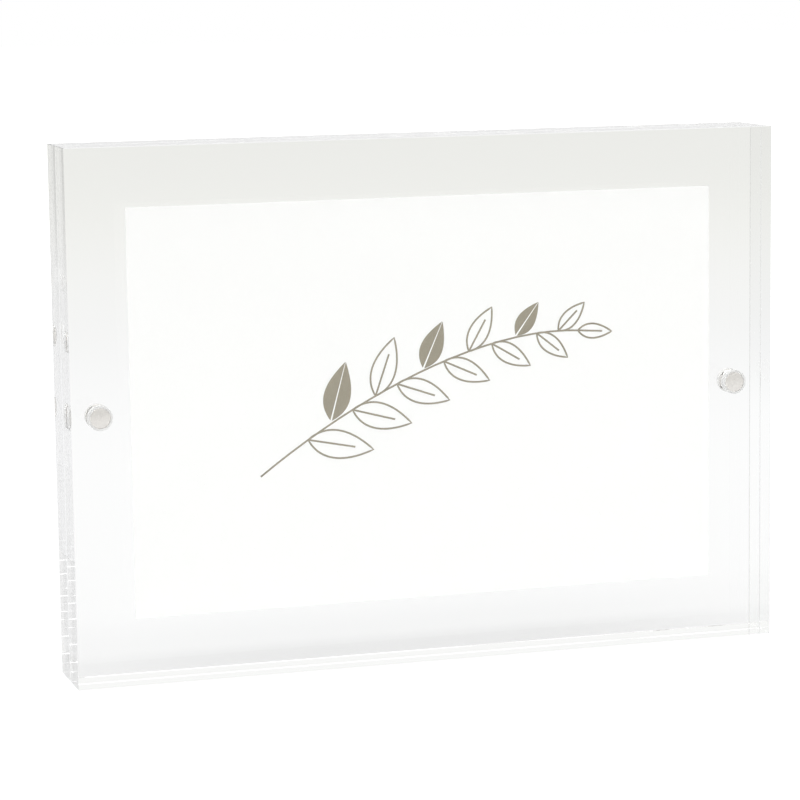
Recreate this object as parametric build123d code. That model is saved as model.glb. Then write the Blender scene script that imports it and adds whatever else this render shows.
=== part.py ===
"""Acrylic block frame: two clear blocks, drawn together by magnets, that clamp a print between them.

Millimetres, +Z up. X runs along the frame's width, the front faces -Y, and the plane y = 0
is the middle of the seam where the blocks meet. The frame stands on z = 0.
"""
import os

from build123d import *

# Clear blocks, both cut to the same size
block_width = 180.0
block_height = 130.0
block_thickness = 10.0
arris_chamfer = 0.1

# Print, held in the seam
print_width = 150.0
print_height = 100.0
print_thickness = 0.25
print_side_shift = 0.8
print_face_clearance = 0.05

# Disc magnets, one pair near each end of the blocks
magnet_diameter = 6.0
magnet_length = 3.0
magnet_rim_chamfer = 0.4
magnet_to_side_face = 8.0
magnet_below_face = 0.05

# Blind bores for the magnets, and the glue that beds them
bore_radial_clearance = 0.05
bore_mouth_chamfer = 0.15
glue_thickness = 0.1

# Sizes that follow from the ones above
seam_gap = print_thickness + 2 * print_face_clearance
inner_face_y = -seam_gap / 2
magnet_x = block_width / 2 - magnet_to_side_face
magnet_z = block_height / 2
bore_depth = magnet_below_face + magnet_length + glue_thickness
magnet_sides = {"left": -magnet_x, "right": magnet_x}


def round_bar(radius: float, length: float, x: float, top_y: float) -> Part:
    """A cylinder along Y at a magnet's place, from top_y into the front block."""
    axis = Plane(origin=(x, top_y, magnet_z), z_dir=(0, -1, 0))
    return axis * Cylinder(radius, length, align=(Align.CENTER, Align.CENTER, Align.MIN))


def magnet_bore(x: float) -> Part:
    """The flat-bottomed hole that takes one magnet and its glue."""
    return round_bar(magnet_diameter / 2 + bore_radial_clearance, bore_depth, x, inner_face_y)


def front_block() -> Part:
    """The front slab, with every arris polished off and two blind bores in its inner face."""
    at_inner_face = Pos(0, inner_face_y, 0)
    slab = at_inner_face * Box(
        block_width,
        block_thickness,
        block_height,
        align=(Align.CENTER, Align.MAX, Align.MIN),
    )
    slab = chamfer(slab.edges(), arris_chamfer)
    for x in magnet_sides.values():
        slab -= magnet_bore(x)
    inner_face = slab.faces().sort_by(Axis.Y)[-1]
    mouths = inner_face.edges().filter_by(GeomType.CIRCLE)
    return chamfer(mouths, bore_mouth_chamfer)


def front_magnet(x: float) -> Part:
    """One plated disc magnet with chamfered rims, sunk just below the inner face."""
    bar = round_bar(magnet_diameter / 2, magnet_length, x, inner_face_y - magnet_below_face)
    return chamfer(bar.edges().filter_by(GeomType.CIRCLE), magnet_rim_chamfer)


def front_glue(x: float) -> Part:
    """The disc of cured glue between one magnet's buried face and the bottom of its bore."""
    magnet_end_y = inner_face_y - magnet_below_face - magnet_length
    return round_bar(magnet_diameter / 2, glue_thickness, x, magnet_end_y)


def print_insert() -> Part:
    """The printed card that the two blocks hold, standing upright in the seam."""
    bottom_margin = (block_height - print_height) / 2
    return Pos(print_side_shift, 0, bottom_margin) * Box(
        print_width,
        print_thickness,
        print_height,
        align=(Align.CENTER, Align.CENTER, Align.MIN),
    )


def rear(piece: Part | Compound) -> Part | Compound:
    """The rear block's matching piece: the front one mirrored across the seam."""
    return mirror(piece, about=Plane.XZ)


def build_nodes() -> dict[str, Part | Compound]:
    """Every separate piece of the frame, by the name of its node."""
    block = front_block()
    glue = Compound(children=[front_glue(x) for x in magnet_sides.values()])
    nodes = {
        "front_block": block,
        "back_block": rear(block),
        "front_magnet_glue": glue,
        "rear_magnet_glue": rear(glue),
        "print_insert": print_insert(),
    }
    for side, x in magnet_sides.items():
        magnet = front_magnet(x)
        nodes[f"front_magnet_{side}"] = magnet
        nodes[f"rear_magnet_{side}"] = rear(magnet)
    return nodes


os.makedirs("parts", exist_ok=True)
for name, piece in build_nodes().items():
    export_step(piece, f"parts/{name}.step")
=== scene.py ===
"""Dress the clear two-block magnetic frame and light it in a plain white studio.

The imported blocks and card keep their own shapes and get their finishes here. The magnets are remodelled
with crowned faces and rolled rims. The glue is remodelled with the small gaps that clear pieces need, and
with a bead that creeps along each bore. A sprig is drawn in ink on the card.
"""

import logging
import math
from dataclasses import dataclass, field
from enum import Enum

import bmesh
import bpy
from mathutils import Matrix, Vector
from mathutils.geometry import interpolate_bezier


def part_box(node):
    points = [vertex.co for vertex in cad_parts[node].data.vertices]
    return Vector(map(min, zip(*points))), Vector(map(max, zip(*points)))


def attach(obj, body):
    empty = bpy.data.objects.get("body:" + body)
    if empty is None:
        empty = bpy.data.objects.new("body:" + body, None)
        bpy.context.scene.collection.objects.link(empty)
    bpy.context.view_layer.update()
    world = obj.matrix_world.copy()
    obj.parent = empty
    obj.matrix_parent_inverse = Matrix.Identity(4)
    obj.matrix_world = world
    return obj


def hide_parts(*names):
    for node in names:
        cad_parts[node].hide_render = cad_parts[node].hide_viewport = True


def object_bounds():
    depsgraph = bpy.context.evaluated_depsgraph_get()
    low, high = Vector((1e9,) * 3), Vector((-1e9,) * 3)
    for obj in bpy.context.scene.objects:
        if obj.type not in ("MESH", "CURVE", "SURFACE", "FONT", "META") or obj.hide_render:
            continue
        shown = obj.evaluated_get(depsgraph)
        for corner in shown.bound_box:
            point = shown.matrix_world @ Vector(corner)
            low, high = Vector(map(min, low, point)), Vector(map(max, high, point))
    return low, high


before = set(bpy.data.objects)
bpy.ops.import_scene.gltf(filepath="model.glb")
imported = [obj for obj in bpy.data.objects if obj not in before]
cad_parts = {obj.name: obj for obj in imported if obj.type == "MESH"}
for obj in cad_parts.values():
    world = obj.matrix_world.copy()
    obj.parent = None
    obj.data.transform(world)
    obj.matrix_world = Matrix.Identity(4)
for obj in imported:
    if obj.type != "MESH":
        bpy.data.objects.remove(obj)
CAD_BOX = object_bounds()

MM = 0.001
WELD = 0.0001 * MM
PHOTO_SIDE = 800
SENSOR_WIDTH = 36.0
MOST_BOUNCES = 48
CLEAR_BOUNCES = 40

log = logging.getLogger("block_frame")

Colour = tuple[float, float, float, float]
Socket = bpy.types.NodeSocket

WHITE: Colour = (1.0, 1.0, 1.0, 1.0)


class Half(Enum):
    """The two clear halves of the frame, by the body that each one rides on."""

    FRONT = "front_half"
    BACK = "back_half"


class LeafFill(Enum):
    """How a leaf of the drawn sprig is inked."""

    OUTLINE = "outline"
    SOLID = "solid"


@dataclass(frozen=True)
class Fade:
    """A level that eases from one value to another over a stretch, and holds outside that stretch."""

    start: float
    end: float
    at_start: float
    at_end: float


@dataclass(frozen=True)
class Grain:
    """A noise: how many blotches it has to the metre, and how many finer layers are added."""

    scale: float
    detail: float


class NodeSheet:
    """A node tree being written, with short calls to add nodes and join them."""

    def __init__(self, tree: bpy.types.NodeTree) -> None:
        """Empty the tree and keep it."""
        self.tree = tree
        self.tree.nodes.clear()

    def add(self, kind: str, inputs: dict[str, object] | None = None, **settings: object) -> bpy.types.Node:
        """Add one node.

        Args:
            kind: The node's type name.
            inputs: Values for its input sockets, by socket name.
            settings: Values for the node's own properties.

        Returns:
            The new node.
        """
        node = self.tree.nodes.new(kind)
        for name, value in settings.items():
            setattr(node, name, value)
        for name, value in (inputs or {}).items():
            node.inputs[name].default_value = value
        return node

    def join(self, source: Socket, target: Socket) -> None:
        """Link an output socket to an input socket."""
        self.tree.links.new(source, target)

    def feed(self, target: Socket, value: Socket | Colour | float) -> None:
        """Give an input socket a link or a plain value.

        Args:
            target: The input socket.
            value: The socket to link to it, or its plain value.
        """
        if isinstance(value, bpy.types.NodeSocket):
            self.join(value, target)
        else:
            target.default_value = value

    def maths(self, operation: str, first: Socket | float, second: Socket | float = 0.0) -> Socket:
        """Work out one sum.

        Args:
            operation: The Math node's operation.
            first: Its first term.
            second: Its second term.

        Returns:
            The socket that holds the result.
        """
        node = self.add("ShaderNodeMath", operation=operation)
        self.feed(node.inputs[0], first)
        self.feed(node.inputs[1], second)
        return node.outputs[0]

    def product(self, *terms: Socket) -> Socket:
        """Multiply several values.

        Args:
            terms: The sockets that hold them.

        Returns:
            The socket that holds the result.
        """
        result, *others = terms
        for term in others:
            result = self.maths("MULTIPLY", result, term)
        return result

    def split(self, vector: Socket) -> tuple[Socket, ...]:
        """Take a vector apart.

        Args:
            vector: The socket that holds it.

        Returns:
            The sockets that hold its X, Y and Z.
        """
        node = self.add("ShaderNodeSeparateXYZ")
        self.join(vector, node.inputs["Vector"])
        return tuple(node.outputs)

    def place(self) -> Socket:
        """Return the socket that holds the place on the piece."""
        return self.add("ShaderNodeTexCoord").outputs["Object"]

    def axes(self) -> tuple[Socket, ...]:
        """Return the sockets that hold X, Y and Z on the piece."""
        return self.split(self.place())

    def ease(self, value: Socket, fade: Fade) -> Socket:
        """Turn a value into a level.

        Args:
            value: The socket to read.
            fade: How the level follows the value.

        Returns:
            The socket that holds the level.
        """
        limits = {
            "From Min": fade.start,
            "From Max": fade.end,
            "To Min": fade.at_start,
            "To Max": fade.at_end,
        }
        node = self.add("ShaderNodeMapRange", limits, interpolation_type="SMOOTHSTEP")
        self.join(value, node.inputs["Value"])
        return node.outputs["Result"]

    def noise(self, grain: Grain) -> Socket:
        """Lay a noise over the piece, fixed to the piece's own place.

        Args:
            grain: How fine the noise is.

        Returns:
            The socket that holds the noise, about 0.5 on average.
        """
        node = self.add("ShaderNodeTexNoise", {"Scale": grain.scale, "Detail": grain.detail})
        self.join(self.place(), node.inputs["Vector"])
        return node.outputs["Fac"]

    def tint(self, value: Socket, at_zero: Colour, at_one: Socket | Colour) -> Socket:
        """Blend two colours by a value.

        Args:
            value: The socket that holds the blend.
            at_zero: The colour at 0.
            at_one: The colour at 1, or the socket that holds it.

        Returns:
            The socket that holds the colour.
        """
        node = self.add("ShaderNodeMix", data_type="RGBA")
        self.join(value, node.inputs["Factor"])
        ends = [socket for socket in node.inputs if socket.type == "RGBA"]
        self.feed(ends[0], at_zero)
        self.feed(ends[1], at_one)
        return next(out for out in node.outputs if out.type == "RGBA")

    def bump(self, height: Socket, distance: float, strength: float) -> Socket:
        """Turn a height into a surface normal.

        Args:
            height: The socket that holds the height.
            distance: The height's full depth in metres.
            strength: The share of that depth that shows.

        Returns:
            The socket that holds the normal.
        """
        node = self.add("ShaderNodeBump", {"Distance": distance, "Strength": strength})
        self.join(height, node.inputs["Height"])
        return node.outputs["Normal"]


def new_material(name: str) -> tuple[bpy.types.Material, NodeSheet, bpy.types.Node]:
    """Start a material with one main shader.

    Args:
        name: The material's name.

    Returns:
        The material, its node sheet, and its main shader, already joined to the surface.
    """
    material = bpy.data.materials.new(name)
    material.use_nodes = True
    sheet = NodeSheet(material.node_tree)
    shader = sheet.add("ShaderNodeBsdfPrincipled")
    output = sheet.add("ShaderNodeOutputMaterial")
    sheet.join(shader.outputs["BSDF"], output.inputs["Surface"])
    return material, sheet, shader


def off_magnet_axis(sheet: NodeSheet) -> Socket:
    """Measure how far a surface is from the nearest magnet's axis.

    Args:
        sheet: The node sheet to write in.

    Returns:
        The socket that holds the distance in metres.
    """
    low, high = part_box("front_magnet_right")
    across, _, upward = sheet.axes()
    aside = sheet.maths("SUBTRACT", sheet.maths("ABSOLUTE", across), (low.x + high.x) / 2)
    above = sheet.maths("SUBTRACT", upward, (low.z + high.z) / 2)
    squares = sheet.maths("ADD", sheet.product(aside, aside), sheet.product(above, above))
    return sheet.maths("SQRT", squares)


@dataclass(frozen=True)
class AcrylicFinish:
    """Cast acrylic: clear and polished, but satin on its top arrises, and satin and tinted grey on those at
    its right end, as painted shade that deepens away from the seam.

    In the bores, glue of the same index wets the walls, so that they do not show.
    """

    tint: Colour = (0.998, 1.0, 0.994, 1.0)
    index: float = 1.49
    wetted_index: float = 1.001
    polish_grain: Grain = Grain(35.0, 3.0)
    polish: Fade = Fade(0.35, 0.75, 0.0, 0.003)
    # Painted shade: the grey tint on the right end's arrises, and its share at the seam.
    end_shade_tint: Colour = (0.5, 0.5, 0.49, 1.0)
    seam_end_shade: float = 0.45
    arris_roughness: float = 0.3
    arris_reach: float = 0.5 * MM
    square_from: float = 0.9
    bore_radius: float = 3.21 * MM
    bore_depth: float = 4.0 * MM

    def bore_mask(self, sheet: NodeSheet) -> Socket:
        """Find the surfaces of the bores.

        Args:
            sheet: The node sheet to write in.

        Returns:
            A socket that is 1 on the walls, floors and mouths of the bores, and 0 elsewhere.
        """
        near = sheet.maths("LESS_THAN", off_magnet_axis(sheet), self.bore_radius)
        deep = sheet.maths("LESS_THAN", sheet.maths("ABSOLUTE", sheet.axes()[1]), self.bore_depth)
        return sheet.product(near, deep)

    def arris_mask(self, sheet: NodeSheet, place: Socket, edge: float) -> Socket:
        """Find the small slanting faces at one end of the blocks.

        Args:
            sheet: The node sheet to write in.
            place: The socket that holds the place along the axis that leads there.
            edge: Where the blocks end on that axis.

        Returns:
            A socket that is 1 where the surface there is square to no axis, and 0 elsewhere.
        """
        normal = sheet.add("ShaderNodeNewGeometry").outputs["True Normal"]
        across, along, upward = (sheet.maths("ABSOLUTE", socket) for socket in sheet.split(normal))
        squarest = sheet.maths("MAXIMUM", sheet.maths("MAXIMUM", across, along), upward)
        slanting = sheet.maths("LESS_THAN", squarest, self.square_from)
        near = sheet.maths("GREATER_THAN", place, edge - self.arris_reach)
        return sheet.product(slanting, near)

    def make(self) -> bpy.types.Material:
        """Make the acrylic's material.

        Returns:
            The material, with its arrises and bores told apart by their places on the blocks.
        """
        material, sheet, shader = new_material("clear_acrylic")
        across, along, upward = sheet.axes()
        top_arris = self.arris_mask(sheet, upward, CAD_BOX[1].z)
        end_arris = self.arris_mask(sheet, across, CAD_BOX[1].x)
        # Painted shade on the right end's arrises: weaker at the seam, full at the outer faces.
        outward = Fade(0.0, CAD_BOX[1].y, self.seam_end_shade, 1.0)
        end_arris_shade = sheet.product(end_arris, sheet.ease(sheet.maths("ABSOLUTE", along), outward))
        sheet.join(sheet.tint(end_arris_shade, self.tint, self.end_shade_tint), shader.inputs["Base Color"])
        shader.inputs["Transmission Weight"].default_value = 1.0
        bored = self.bore_mask(sheet)
        fall = sheet.maths("MULTIPLY", bored, self.index - self.wetted_index)
        sheet.join(sheet.maths("SUBTRACT", self.index, fall), shader.inputs["IOR"])
        polish = sheet.ease(sheet.noise(self.polish_grain), self.polish)
        arris = sheet.maths("MAXIMUM", top_arris, end_arris)
        satin = sheet.maths("MULTIPLY", arris, self.arris_roughness)
        unbored = sheet.maths("SUBTRACT", 1.0, bored)
        roughness = sheet.product(sheet.maths("ADD", polish, satin), unbored)
        sheet.join(roughness, shader.inputs["Roughness"])
        return material


@dataclass(frozen=True)
class NickelFinish:
    """Nickel plating laid on in a barrel over a sintered disc: satin, a little warm, and painted dark round
    the rims at the seam, as painted shade between the facing magnets.

    The painted shade is deeper on the left magnets than on the right ones.
    """

    dark: Colour = (0.84, 0.815, 0.793, 1.0)
    light: Colour = (0.913, 0.886, 0.864, 1.0)
    # Painted shade: the dark colour on the rims at the seam, and how it fades off the seam, off the axis
    # and from left to right.
    seam_shade_colour: Colour = (0.4, 0.38, 0.36, 1.0)
    clouds: Grain = Grain(300.0, 2.0)
    scuffs: Grain = Grain(900.0, 2.0)
    roughness: Fade = Fade(0.3, 0.7, 0.16, 0.24)
    shade_off_seam: Fade = Fade(0.45 * MM, 0.75 * MM, 1.0, 0.0)
    shade_off_axis: Fade = Fade(2.2 * MM, 2.5 * MM, 0.0, 1.0)
    shade_by_side: Fade = Fade(-0.04, 0.04, 1.0, 0.2)

    def make(self) -> bpy.types.Material:
        """Make the plating's material.

        Returns:
            The material, with its wear told by the place on each magnet.
        """
        material, sheet, shader = new_material("nickel_plate")
        shader.inputs["Metallic"].default_value = 1.0
        bright = sheet.tint(sheet.noise(self.clouds), self.dark, self.light)
        across, along, _ = sheet.axes()
        # Painted shade round the rims where the two magnets meet, deeper on the left magnets.
        at_seam = sheet.ease(sheet.maths("ABSOLUTE", along), self.shade_off_seam)
        at_rim = sheet.ease(off_magnet_axis(sheet), self.shade_off_axis)
        seam_shade_mask = sheet.product(at_seam, at_rim, sheet.ease(across, self.shade_by_side))
        unshaded = sheet.maths("SUBTRACT", 1.0, seam_shade_mask)
        sheet.join(sheet.tint(unshaded, self.seam_shade_colour, bright), shader.inputs["Base Color"])
        sheet.join(sheet.ease(sheet.noise(self.scuffs), self.roughness), shader.inputs["Roughness"])
        return material


@dataclass(frozen=True)
class GlueFinish:
    """Cured glue with small bubbles: nearly clear as a film, milky as a thicker bead."""

    name: str = "cured_glue"
    dark: Colour = (0.93, 0.925, 0.91, 1.0)
    light: Colour = (0.985, 0.983, 0.975, 1.0)
    clearness: float = 0.97
    index: float = 1.48
    bubble_scale: float = 1400.0
    bubble_edge: Fade = Fade(0.1, 0.3, 0.0, 1.0)
    roughness: Fade = Fade(0.0, 1.0, 0.3, 0.08)

    def make(self) -> bpy.types.Material:
        """Make the glue's material.

        Returns:
            The material.
        """
        material, sheet, shader = new_material(self.name)
        shader.inputs["Transmission Weight"].default_value = self.clearness
        shader.inputs["IOR"].default_value = self.index
        cells = sheet.add("ShaderNodeTexVoronoi", {"Scale": self.bubble_scale})
        sheet.join(sheet.place(), cells.inputs["Vector"])
        bubbles = sheet.ease(cells.outputs["Distance"], self.bubble_edge)
        sheet.join(sheet.tint(bubbles, self.dark, self.light), shader.inputs["Base Color"])
        sheet.join(sheet.ease(bubbles, self.roughness), shader.inputs["Roughness"])
        return material


CLEAR_FILM = GlueFinish()
MILKY_BEAD = GlueFinish(name="glue_bead", clearness=0.1, dark=(0.95, 0.94, 0.92, 1.0))


@dataclass(frozen=True)
class CardFinish:
    """Uncoated white card: matt, with a fine felt grain."""

    dark: Colour = (0.925, 0.925, 0.92, 1.0)
    light: Colour = (0.955, 0.955, 0.95, 1.0)
    specular: float = 0.25
    felt: Grain = Grain(1800.0, 5.0)
    roughness: Fade = Fade(0.3, 0.7, 0.75, 0.9)
    fibre_depth: float = 0.02 * MM
    fibre_strength: float = 0.2

    def make(self) -> bpy.types.Material:
        """Make the card's material.

        Returns:
            The material.
        """
        material, sheet, shader = new_material("print_card")
        shader.inputs["Specular IOR Level"].default_value = self.specular
        fibres = sheet.noise(self.felt)
        sheet.join(sheet.tint(fibres, self.dark, self.light), shader.inputs["Base Color"])
        sheet.join(sheet.ease(fibres, self.roughness), shader.inputs["Roughness"])
        normal = sheet.bump(fibres, self.fibre_depth, self.fibre_strength)
        sheet.join(normal, shader.inputs["Normal"])
        return material


@dataclass(frozen=True)
class InkFinish:
    """A warm grey-brown ink, laid a little unevenly into the card."""

    dark: Colour = (0.26, 0.232, 0.165, 1.0)
    light: Colour = (0.35, 0.315, 0.235, 1.0)
    specular: float = 0.3
    blots: Grain = Grain(1500.0, 4.0)
    roughness: Fade = Fade(0.3, 0.7, 0.55, 0.75)

    def make(self) -> bpy.types.Material:
        """Make the ink's material.

        Returns:
            The material.
        """
        material, sheet, shader = new_material("print_ink")
        shader.inputs["Specular IOR Level"].default_value = self.specular
        blots = sheet.noise(self.blots)
        sheet.join(sheet.tint(blots, self.dark, self.light), shader.inputs["Base Color"])
        sheet.join(sheet.ease(blots, self.roughness), shader.inputs["Roughness"])
        return material


def new_piece(name: str, shape: bmesh.types.BMesh, material: bpy.types.Material) -> bpy.types.Object:
    """Make an object at the origin from a finished shape.

    Args:
        name: The piece's name.
        shape: Its mesh, already in place. It is freed here.
        material: Its finish.

    Returns:
        The new object.
    """
    bmesh.ops.recalc_face_normals(shape, faces=shape.faces)
    mesh = bpy.data.meshes.new(name)
    shape.to_mesh(mesh)
    shape.free()
    mesh.materials.append(material)
    piece = bpy.data.objects.new(name, mesh)
    bpy.context.scene.collection.objects.link(piece)
    return piece


def dress_node(node: str, material: bpy.types.Material) -> None:
    """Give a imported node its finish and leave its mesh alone.

    Args:
        node: The node's name.
        material: Its finish.
    """
    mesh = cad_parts[node].data
    mesh.materials.clear()
    mesh.materials.append(material)
    log.info("dressed %s in %s", node, material.name)


@dataclass
class BlockPair:
    """The two clear blocks."""

    nodes: tuple[str, str] = ("front_block", "back_block")

    def dress(self, acrylic: bpy.types.Material) -> None:
        """Give both blocks the acrylic's material."""
        for node in self.nodes:
            dress_node(node, acrylic)


def turned_piece(outline: list[Vector], closed: bool, segments: int) -> bmesh.types.BMesh:
    """Turn an outline round the Z axis, as on a lathe.

    Args:
        outline: Points in the XZ plane, on the +X side of the axis.
        closed: Whether the outline's last point joins its first one.
        segments: How many steps make the full turn.

    Returns:
        The turned shape.
    """
    shape = bmesh.new()
    knots = [shape.verts.new(point) for point in outline]
    edges = [shape.edges.new(pair) for pair in zip(knots, knots[1:])]
    if closed:
        edges.append(shape.edges.new((knots[-1], knots[0])))
    bmesh.ops.spin(
        shape,
        geom=knots + edges,
        cent=(0.0, 0.0, 0.0),
        axis=(0.0, 0.0, 1.0),
        angle=math.tau,
        steps=segments,
        use_merge=True,
    )
    bmesh.ops.remove_doubles(shape, verts=shape.verts, dist=WELD)
    return shape


def merged(shapes: list[bmesh.types.BMesh]) -> bmesh.types.BMesh:
    """Put several shapes into one mesh.

    Args:
        shapes: The shapes, which are freed here.

    Returns:
        The mesh that holds them all.
    """
    whole = bmesh.new()
    for shape in shapes:
        mesh = bpy.data.meshes.new("part")
        shape.to_mesh(mesh)
        shape.free()
        whole.from_mesh(mesh)
        bpy.data.meshes.remove(mesh)
    return whole


@dataclass(frozen=True)
class MagnetShape:
    """The outline of a barrel-finished disc magnet: slightly crowned faces and rolled rims."""

    rim_round: float = 0.45 * MM
    rim_steps: int = 10
    crown_tilt: float = math.radians(5.5)
    crown_steps: int = 8

    def crown(self, radius: float) -> tuple[float, float]:
        """Find where a face's crown ends.

        Args:
            radius: The magnet's radius.

        Returns:
            The crown's radius, and how far its edge lies below its middle.
        """
        edge = radius - self.rim_round * (1.0 - math.sin(self.crown_tilt))
        return edge, edge * math.tan(self.crown_tilt) / 2

    def rim_point(self, radius: float, turn: float, gap: float = 0.0) -> Vector:
        """Find a point on the rolled rim, or just off it.

        Args:
            radius: The magnet's radius.
            turn: How far round the rim it is, from 0 at the crown to 1 at the side.
            gap: How far off the rim it is.

        Returns:
            The point in the XZ plane, with the middle of the face at the origin.
        """
        _, fall = self.crown(radius)
        angle = self.crown_tilt + (math.pi / 2 - self.crown_tilt) * turn
        across = radius - self.rim_round + (self.rim_round + gap) * math.sin(angle)
        centre = -fall - self.rim_round * math.cos(self.crown_tilt)
        return Vector((across, 0.0, centre + (self.rim_round + gap) * math.cos(angle)))

    def outline(self, radius: float, length: float) -> list[Vector]:
        """Draw the whole outline, from the middle of one face to the middle of the other.

        Args:
            radius: The magnet's radius.
            length: Its length along the axis.

        Returns:
            Points in the XZ plane, with the magnet's middle at the origin.
        """
        edge, fall = self.crown(radius)
        shares = [step / self.crown_steps for step in range(self.crown_steps)]
        upper = [Vector((edge * share, 0.0, -fall * share**2)) for share in shares]
        upper += [self.rim_point(radius, step / self.rim_steps) for step in range(self.rim_steps + 1)]
        upper = [point + Vector((0.0, 0.0, length / 2)) for point in upper]
        lower = [Vector((point.x, 0.0, -point.z)) for point in reversed(upper)]
        return upper + lower


@dataclass
class MagnetSet:
    """The four plated discs that draw the blocks together."""

    nodes: dict[str, Half] = field(
        default_factory=lambda: {
            "front_magnet_left": Half.FRONT,
            "front_magnet_right": Half.FRONT,
            "rear_magnet_left": Half.BACK,
            "rear_magnet_right": Half.BACK,
        }
    )
    form: MagnetShape = MagnetShape()
    segments: int = 96

    def disc(self, low: Vector, high: Vector) -> bmesh.types.BMesh:
        """Model one disc that fills a magnet's box.

        Args:
            low: The box's lowest corner.
            high: Its highest corner.

        Returns:
            The disc's mesh, in place.
        """
        outline = self.form.outline((high.x - low.x) / 2, high.y - low.y)
        shape = turned_piece(outline, closed=False, segments=self.segments)
        for face in shape.faces:
            face.smooth = True
        upright = Matrix.Rotation(math.radians(90.0), 4, "X")
        place = Matrix.Translation((low + high) / 2) @ upright
        bmesh.ops.transform(shape, matrix=place, verts=shape.verts)
        return shape

    def build(self, nickel: bpy.types.Material) -> list[bpy.types.Object]:
        """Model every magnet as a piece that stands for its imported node.

        Args:
            nickel: The plating's material.

        Returns:
            The new pieces.
        """
        pieces = []
        for node, half in self.nodes.items():
            piece = new_piece(f"{node}_disc", self.disc(*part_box(node)), nickel)
            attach(piece, half.value)
            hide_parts(node)
            log.info("built %s", piece.name)
            pieces.append(piece)
        return pieces


@dataclass
class GlueBeds:
    """The glue that beds one half's magnets: a film under each face, and a bead squeezed out round it."""

    half: Half
    node: str
    form: MagnetShape = MagnetShape()
    gap: float = 0.012 * MM
    bore_clearance: float = 0.05 * MM
    film_edge: float = 0.5 * MM
    creep: float = 2.4 * MM
    bead_steps: int = 8
    segments: int = 96

    def film_outline(self, radius: float, thickness: float) -> list[Vector]:
        """Draw the outline of a film.

        Args:
            radius: The magnet's radius.
            thickness: The room between the magnet's face and the floor of its bore.

        Returns:
            Points in the XZ plane, with the middle of the magnet's face at the origin.
        """
        edge = radius - self.film_edge
        top = thickness - self.gap
        return [
            Vector((0.0, 0.0, self.gap)),
            Vector((edge - self.gap, 0.0, self.gap)),
            Vector((edge, 0.0, self.gap * 2)),
            Vector((edge, 0.0, top - self.gap)),
            Vector((edge - self.gap, 0.0, top)),
            Vector((0.0, 0.0, top)),
        ]

    def bead_outline(self, radius: float, thickness: float) -> list[Vector]:
        """Draw the outline of a bead that fills the corner at the rolled rim and creeps along the bore.

        Args:
            radius: The magnet's radius.
            thickness: The room between the magnet's face and the floor of its bore.

        Returns:
            Points in the XZ plane, with the middle of the magnet's face at the origin.
        """
        wall = radius + self.bore_clearance - self.gap
        top = thickness - self.gap
        turns = [step / self.bead_steps for step in range(self.bead_steps + 1)]
        rim = [self.form.rim_point(radius, turn, self.gap) for turn in turns]
        inside = Vector((radius - self.film_edge + self.gap, 0.0, top))
        ends = [Vector((across, 0.0, -self.creep)) for across in (rim[-1].x, wall)]
        return [inside, *rim, *ends, Vector((wall, 0.0, top))]

    def piece(
        self, name: str, outline: list[Vector], closed: bool, glue: bpy.types.Material
    ) -> bpy.types.Object:
        """Turn an outline into one piece with a ring or film at each of this half's magnets.

        Args:
            name: The piece's name.
            outline: The outline to turn.
            closed: Whether the outline joins up.
            glue: The piece's material.

        Returns:
            The new piece.
        """
        low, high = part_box(self.node)
        radius = (high.z - low.z) / 2
        outward = -1.0 if self.half is Half.FRONT else 1.0
        face_y = high.y if self.half is Half.FRONT else low.y
        upright = Matrix.Rotation(math.radians(-90.0 * outward), 4, "X")
        shapes = []
        for x in (low.x + radius, high.x - radius):
            shape = turned_piece(outline, closed, self.segments)
            place = Matrix.Translation((x, face_y, (low.z + high.z) / 2)) @ upright
            bmesh.ops.transform(shape, matrix=place, verts=shape.verts)
            shapes.append(shape)
        made = new_piece(name, merged(shapes), glue)
        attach(made, self.half.value)
        log.info("built %s", name)
        return made

    def build(self, clear: bpy.types.Material, milky: bpy.types.Material) -> list[bpy.types.Object]:
        """Model the films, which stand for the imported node, and the beads.

        Args:
            clear: The films' material.
            milky: The beads' material.

        Returns:
            The new pieces.
        """
        low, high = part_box(self.node)
        radius = (high.z - low.z) / 2
        thickness = high.y - low.y
        film = self.film_outline(radius, thickness)
        films = self.piece(f"{self.half.value}_glue_films", film, closed=False, glue=clear)
        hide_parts(self.node)
        bead = self.bead_outline(radius, thickness)
        beads = self.piece(f"{self.half.value}_glue_beads", bead, closed=True, glue=milky)
        return [films, beads]


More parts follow.
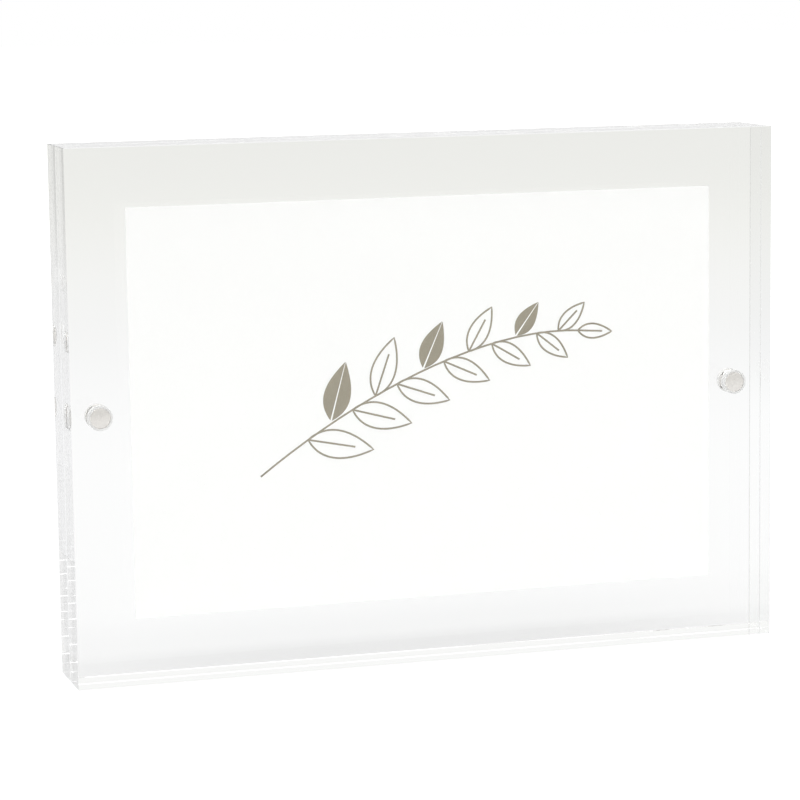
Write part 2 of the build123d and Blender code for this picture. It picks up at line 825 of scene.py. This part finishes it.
@dataclass
class PrintedCard:
    """The card, and the leafy sprig that is drawn on it in ink.

    The drawing's places and lengths are in millimetres. A leaf's width, its pulls and its reaches are
    shares of its length, and the gaps are shares of the line's width.
    """

    body: str = "print"
    node: str = "print_insert"
    stem_start: Vector = field(default_factory=lambda: Vector((-43.0, -17.0)))
    stem_end: Vector = field(default_factory=lambda: Vector((40.0, 15.0)))
    start_pull: Vector = field(default_factory=lambda: Vector((24.0, 18.0)))
    end_pull: Vector = field(default_factory=lambda: Vector((-26.0, 2.0)))
    stem_steps: int = 201
    leaf_count: int = 13
    first_leaf: float = 0.16
    longest_leaf: float = 17.0
    shortest_leaf: float = 9.0
    leaf_width: float = 0.36
    leaf_angle: float = 44.0
    side_pull: float = 0.75
    base_pull: float = 0.22
    tip_pull: float = 0.42
    vein_reach: float = 0.72
    solid_first: int = 1
    solid_every: int = 4
    solid_foot: float = 0.06
    solid_point: float = 0.97
    vein_gap: float = 0.45
    point_gap: float = 0.3
    vein_pull: float = 0.33
    line_width: float = 0.46
    line_steps: int = 2
    smoothness: int = 20
    ink_depth: float = 0.022
    ink_sunk: float = 0.004
    ink_weld: float = 0.0005

    def stem_point(self, share: float) -> tuple[Vector, Vector]:
        """Find a point on the stem.

        Args:
            share: How far along the stem it is, from 0 to 1.

        Returns:
            The point, and the stem's direction there.
        """
        line = interpolate_bezier(
            self.stem_start.to_3d(),
            (self.stem_start + self.start_pull).to_3d(),
            (self.stem_end + self.end_pull).to_3d(),
            self.stem_end.to_3d(),
            self.stem_steps,
        )
        index = min(int(share * (self.stem_steps - 1)), self.stem_steps - 2)
        direction = (line[index + 1] - line[index]).to_2d().normalized()
        return line[index].to_2d(), direction

    def new_curve(self, name: str, filled: bool) -> bpy.types.Curve:
        """Start an empty flat curve.

        Args:
            name: The curve's name.
            filled: Whether closed lines are filled in, or lines are drawn round as wire.

        Returns:
            The curve, in millimetres on its own XY plane.
        """
        curve = bpy.data.curves.new(name, "CURVE")
        curve.resolution_u = self.smoothness
        if filled:
            curve.dimensions = "2D"
            curve.fill_mode = "BOTH"
            curve.extrude = self.ink_depth / 2
        else:
            curve.dimensions = "3D"
            curve.bevel_depth = self.line_width / 2
            curve.bevel_resolution = self.line_steps
            curve.use_fill_caps = True
        return curve

    def add_line(
        self, curve: bpy.types.Curve, knots: list[tuple[Vector, Vector, Vector]], closed: bool
    ) -> None:
        """Add one smooth line to a curve.

        Args:
            curve: The curve to add it to.
            knots: Each knot's place, and the handles before and after it.
            closed: Whether the line's ends meet.
        """
        spline = curve.splines.new("BEZIER")
        spline.bezier_points.add(len(knots) - 1)
        spline.use_cyclic_u = closed
        for point, (place, before, after) in zip(spline.bezier_points, knots):
            point.co = place.to_3d()
            point.handle_left = before.to_3d()
            point.handle_right = after.to_3d()

    def leaf_halves(self, base: Vector, tip: Vector) -> tuple[Vector, Vector, Vector]:
        """Find the pulls that round a leaf's two sides.

        Args:
            base: Where the leaf joins the stem.
            tip: Its point.

        Returns:
            The pull along the leaf near its base, the one near its tip, and the pull to one side.
        """
        along = tip - base
        side = Vector((-along.y, along.x)) * self.leaf_width * self.side_pull
        return along * self.base_pull, along * -self.tip_pull, side

    def add_leaf(
        self, lines: bpy.types.Curve, fills: bpy.types.Curve, base: Vector, tip: Vector, fill: LeafFill
    ) -> None:
        """Draw one leaf.

        Args:
            lines: The curve for its lines.
            fills: The curve for its solid ink.
            base: Where it joins the stem.
            tip: Its point.
            fill: How it is inked.
        """
        near, far, side = self.leaf_halves(base, tip)
        if fill is LeafFill.OUTLINE:
            knots = [
                (base, base + near - side, base + near + side),
                (tip, tip + far + side, tip + far - side),
            ]
            self.add_line(lines, knots, closed=True)
            vein_end = base.lerp(tip, self.vein_reach)
            vein = [(base, base, base + near), (vein_end, vein_end, vein_end)]
            self.add_line(lines, vein, closed=False)
            return
        for way in (-1.0, 1.0):
            gap = side.normalized() * way * self.line_width * self.vein_gap
            foot = base.lerp(tip, self.solid_foot) + gap
            point = base.lerp(tip, self.solid_point) + gap * self.point_gap
            knots = [
                (foot, foot.lerp(point, self.vein_pull), foot + near + side * way),
                (point, point + far + side * way, point.lerp(foot, self.vein_pull)),
            ]
            self.add_line(fills, knots, closed=True)

    def draw(self) -> tuple[bpy.types.Curve, bpy.types.Curve]:
        """Draw the whole sprig.

        Returns:
            The curve of its lines, and the curve of its solid leaves.
        """
        lines = self.new_curve("sprig_lines", filled=False)
        fills = self.new_curve("sprig_fills", filled=True)
        stem = [
            (self.stem_start, self.stem_start, self.stem_start + self.start_pull),
            (self.stem_end, self.stem_end + self.end_pull, self.stem_end),
        ]
        self.add_line(lines, stem, closed=False)
        for index in range(self.leaf_count):
            share = index / (self.leaf_count - 1)
            base, direction = self.stem_point(self.first_leaf + (1.0 - self.first_leaf) * share)
            length = self.longest_leaf + (self.shortest_leaf - self.longest_leaf) * share
            is_last = index == self.leaf_count - 1
            turn = 0.0 if is_last else self.leaf_angle * (1.0 if index % 2 else -1.0)
            reach = direction.copy()
            reach.rotate(Matrix.Rotation(math.radians(turn), 2))
            is_solid = index % self.solid_every == self.solid_first
            fill = LeafFill.SOLID if is_solid else LeafFill.OUTLINE
            self.add_leaf(lines, fills, base, base + reach * length, fill)
        return lines, fills

    def ink_piece(self, curve: bpy.types.Curve, ink: bpy.types.Material) -> bpy.types.Object:
        """Turn a drawn curve into a thin layer of ink on the print's face.

        Args:
            curve: The flat curve, in millimetres.
            ink: The ink's material.

        Returns:
            The new piece.
        """
        holder = bpy.data.objects.new(curve.name, curve)
        bpy.context.scene.collection.objects.link(holder)
        graph = bpy.context.evaluated_depsgraph_get()
        mesh = bpy.data.meshes.new_from_object(holder.evaluated_get(graph))
        name = curve.name
        bpy.data.objects.remove(holder)
        bpy.data.curves.remove(curve)
        shape = bmesh.new()
        shape.from_mesh(mesh)
        bpy.data.meshes.remove(mesh)
        bmesh.ops.remove_doubles(shape, verts=shape.verts, dist=self.ink_weld)
        tallest = max(abs(vertex.co.z) for vertex in shape.verts)
        low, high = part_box(self.node)
        middle = Vector(((low.x + high.x) / 2, low.y, (low.z + high.z) / 2))
        middle.y += (self.ink_sunk - self.ink_depth / 2) * MM
        flatten = Matrix.Diagonal((MM, MM, self.ink_depth / 2 / tallest * MM, 1.0))
        upright = Matrix.Rotation(math.radians(90.0), 4, "X")
        place = Matrix.Translation(middle) @ upright @ flatten
        bmesh.ops.transform(shape, matrix=place, verts=shape.verts)
        piece = new_piece(name, shape, ink)
        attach(piece, self.body)
        log.info("built %s", piece.name)
        return piece

    def build(self, card: bpy.types.Material, ink: bpy.types.Material) -> list[bpy.types.Object]:
        """Dress the card and lay the drawing on it.

        Args:
            card: The card's material.
            ink: The ink's material.

        Returns:
            The pieces of ink.
        """
        dress_node(self.node, card)
        return [self.ink_piece(curve, ink) for curve in self.draw()]


@dataclass
class SoftBox:
    """One large soft lamp that looks at the middle of the frame."""

    name: str
    place: Vector
    width: float
    height: float
    power: float

    def build(self, target: Vector) -> bpy.types.Object:
        """Place the lamp.

        Args:
            target: The point that it looks at.

        Returns:
            The lamp's object.
        """
        lamp = bpy.data.lights.new(self.name, "AREA")
        lamp.shape = "RECTANGLE"
        lamp.size = self.width
        lamp.size_y = self.height
        lamp.energy = self.power
        holder = bpy.data.objects.new(self.name, lamp)
        holder.location = self.place
        holder.rotation_euler = (target - self.place).to_track_quat("-Z", "Y").to_euler()
        bpy.context.scene.collection.objects.link(holder)
        return holder


@dataclass
class Studio:
    """A white table in a white sweep, with soft lamps above and a dim room in front."""

    floor_drop: float = 0.1 * MM
    floor_reach: float = 5.0
    paper: Colour = (0.54, 0.54, 0.54, 1.0)
    lit_share: float = 0.1
    near_tint: Colour = (1.0, 1.0, 1.01, 1.0)
    far_tint: Colour = (1.0, 1.0, 0.975, 1.0)
    tint_by_distance: Fade = Fade(0.4, 1.4, 0.0, 1.0)
    seen_by_distance: Fade = Fade(0.3, 1.2, 1.1, 1.6)
    # Painted light falloff and painted shade on the table, seen off metal and through glass: dimmer to the
    # front, with distance and to the left, and shaded where the frame stands.
    front_dimming: Fade = Fade(-1.45, -0.3, 0.68, 1.0)
    near_dimming: Fade = Fade(0.3, 0.75, 1.005, 0.95)
    far_dimming: Fade = Fade(0.8, 1.8, 1.0, 0.965)
    left_dimming: Fade = Fade(-0.14, -0.05, 0.955, 1.0)
    close_shade: Fade = Fade(0.018, 0.036, 0.11, 0.0)
    broad_shade: Fade = Fade(0.035, 0.085, 0.06, 0.0)
    shade_from_front: Fade = Fade(-0.012, -0.002, 0.0, 1.0)
    shade_to_sides: Fade = Fade(0.03, 0.12, 1.0, 0.35)
    room_to_sweep: Fade = Fade(-0.35, 0.35, 0.82, 0.955)
    sweep_to_ceiling: Fade = Fade(0.27, 0.6, 1.0, 0.85)
    lamps: tuple[SoftBox, ...] = (
        SoftBox("key_softbox", Vector((-0.7, -0.9, 1.7)), 1.2, 1.2, 12.4),
        SoftBox("fill_softbox", Vector((0.9, -0.9, 1.5)), 1.9, 1.9, 11.8),
        SoftBox("back_softbox", Vector((0.0, 1.3, 1.7)), 1.6, 1.0, 14.0),
    )

    def background_rays(self, sheet: NodeSheet) -> tuple[Socket, Socket]:
        """Tell the rays that show the background from the rays that gather light.

        Args:
            sheet: The node sheet to write in.

        Returns:
            A socket that is 1 for camera rays, and one that is 1 for rays off metal or through glass.
        """
        path = sheet.add("ShaderNodeLightPath")
        glossy, clear = path.outputs["Is Glossy Ray"], path.outputs["Is Transmission Ray"]
        return path.outputs["Is Camera Ray"], sheet.maths("MAXIMUM", glossy, clear)

    def mirrored_level(self, sheet: NodeSheet, aside: Socket, along: Socket, far: Socket) -> Socket:
        """Set the table's painted level, as the clear blocks and the metal show it.

        Args:
            sheet: The node sheet to write in.
            aside: The socket that holds X on the table.
            along: The socket that holds Y on the table.
            far: The socket that holds the distance from the frame.

        Returns:
            The socket that holds the table's level: even, but for painted light and shade: dimmer towards
            the dim room in front and with distance, painted shade where the frame stands, and a darker left
            side.
        """
        # Painted light falloff with distance from the frame.
        near_level, far_level = sheet.ease(far, self.near_dimming), sheet.ease(far, self.far_dimming)
        depth = sheet.maths("ADD", sheet.ease(along, self.close_shade), sheet.ease(along, self.broad_shade))
        behind = sheet.ease(along, self.shade_from_front)
        inner = sheet.ease(sheet.maths("ABSOLUTE", aside), self.shade_to_sides)
        # Painted contact shade where the frame stands.
        painted_contact_shade = sheet.maths("SUBTRACT", 1.0, sheet.product(depth, behind, inner))
        front, left = sheet.ease(along, self.front_dimming), sheet.ease(aside, self.left_dimming)
        return sheet.product(front, near_level, far_level, painted_contact_shade, left)

    def floor_material(self) -> bpy.types.Material:
        """Make the white table's material.

        Returns:
            The material, which keeps a tenth of the frame's real shadow, and for rays off metal and through
            glass adds painted shade and painted light falloff.
        """
        material = bpy.data.materials.new("white_table")
        material.use_nodes = True
        sheet = NodeSheet(material.node_tree)
        camera, mirrored = self.background_rays(sheet)
        place = sheet.place()
        aside, along, _ = sheet.split(place)
        distance = sheet.add("ShaderNodeVectorMath", operation="LENGTH")
        sheet.join(place, distance.inputs[0])
        far = distance.outputs["Value"]
        lit = sheet.add("ShaderNodeBsdfDiffuse", {"Color": self.paper})
        glow = sheet.add("ShaderNodeEmission")
        tint = sheet.tint(sheet.ease(far, self.tint_by_distance), self.near_tint, self.far_tint)
        sheet.join(tint, glow.inputs["Color"])
        strength = sheet.add("ShaderNodeMix", data_type="FLOAT")
        sheet.join(camera, strength.inputs["Factor"])
        sheet.join(self.mirrored_level(sheet, aside, along, far), strength.inputs["A"])
        sheet.join(sheet.ease(far, self.seen_by_distance), strength.inputs["B"])
        sheet.join(strength.outputs["Result"], glow.inputs["Strength"])
        shown = sheet.maths("MULTIPLY", sheet.maths("MAXIMUM", camera, mirrored), 1.0 - self.lit_share)
        total = sheet.add("ShaderNodeMixShader")
        sheet.join(shown, total.inputs["Fac"])
        sheet.join(lit.outputs["BSDF"], total.inputs[1])
        sheet.join(glow.outputs["Emission"], total.inputs[2])
        output = sheet.add("ShaderNodeOutputMaterial")
        sheet.join(total.outputs["Shader"], output.inputs["Surface"])
        return material

    def build_floor(self) -> bpy.types.Object:
        """Lay the table just under the frame.

        Returns:
            The table's object.
        """
        shape = bmesh.new()
        bmesh.ops.create_grid(shape, x_segments=1, y_segments=1, size=self.floor_reach)
        bmesh.ops.translate(shape, vec=(0.0, 0.0, -self.floor_drop), verts=shape.verts)
        floor = new_piece("white_table", shape, self.floor_material())
        return floor

    def build_world(self) -> None:
        """Set the sweep behind, the dim room in front, and the white that the camera sees."""
        world = bpy.data.worlds.new("studio")
        bpy.context.scene.world = world
        world.use_nodes = True
        sheet = NodeSheet(world.node_tree)
        camera, _ = self.background_rays(sheet)
        _, backward, upward = sheet.split(sheet.add("ShaderNodeTexCoord").outputs["Generated"])
        sweep = sheet.ease(backward, self.room_to_sweep)
        room = sheet.product(sweep, sheet.ease(upward, self.sweep_to_ceiling))
        glow = sheet.add("ShaderNodeBackground", {"Color": WHITE})
        sheet.join(sheet.maths("MAXIMUM", camera, room), glow.inputs["Strength"])
        output = sheet.add("ShaderNodeOutputWorld")
        sheet.join(glow.outputs["Background"], output.inputs["Surface"])

    def build(self) -> None:
        """Set up the table, the world and the lamps."""
        self.build_floor()
        self.build_world()
        low, high = CAD_BOX
        for lamp in self.lamps:
            lamp.build((low + high) / 2)
        log.info("set up the studio")


@dataclass
class PhotoCamera:
    """The camera, in the photo's place, with its angles in degrees."""

    place: Vector = field(default_factory=lambda: Vector((-0.22809, -0.72449, 0.17549)))
    heading: float = 17.094
    pitch: float = 8.336
    roll: float = -0.755
    focal_pixels: float = 3089.4
    nearest: float = 0.01

    def build(self) -> bpy.types.Object:
        """Place the camera and make it the scene's own.

        Returns:
            The camera's object.
        """
        angles = (self.heading, self.pitch, self.roll)
        heading, pitch, roll = (math.radians(angle) for angle in angles)
        level = math.cos(pitch)
        forward = Vector((math.sin(heading) * level, math.cos(heading) * level, -math.sin(pitch)))
        right = forward.cross(Vector((0.0, 0.0, 1.0))).normalized()
        up = right.cross(forward)
        tilted_right = right * math.cos(roll) + up * math.sin(roll)
        tilted_up = up * math.cos(roll) - right * math.sin(roll)
        turn = Matrix((tilted_right, tilted_up, -forward)).transposed()
        lens = bpy.data.cameras.new("photo_camera")
        lens.sensor_width = SENSOR_WIDTH
        lens.lens = self.focal_pixels * SENSOR_WIDTH / PHOTO_SIDE
        lens.clip_start = self.nearest
        camera = bpy.data.objects.new("photo_camera", lens)
        camera.matrix_world = Matrix.Translation(self.place) @ turn.to_4x4()
        bpy.context.scene.collection.objects.link(camera)
        bpy.context.scene.camera = camera
        return camera


def set_up_render() -> None:
    """Keep colours plain, and let light bounce often enough inside the clear blocks."""
    scene = bpy.context.scene
    scene.view_settings.view_transform = "Standard"
    scene.cycles.max_bounces = MOST_BOUNCES
    scene.cycles.glossy_bounces = CLEAR_BOUNCES
    scene.cycles.transmission_bounces = CLEAR_BOUNCES
    scene.cycles.blur_glossy = 0.0


def main() -> None:
    """Build every class in order and report each piece."""
    logging.basicConfig(level=logging.INFO, format="%(message)s")
    set_up_render()
    BlockPair().dress(AcrylicFinish().make())
    MagnetSet().build(NickelFinish().make())
    clear_glue = CLEAR_FILM.make()
    milky_glue = MILKY_BEAD.make()
    GlueBeds(Half.FRONT, "front_magnet_glue").build(clear_glue, milky_glue)
    GlueBeds(Half.BACK, "rear_magnet_glue").build(clear_glue, milky_glue)
    PrintedCard().build(CardFinish().make(), InkFinish().make())
    Studio().build()
    PhotoCamera().build()


if __name__ == "__main__":
    main()
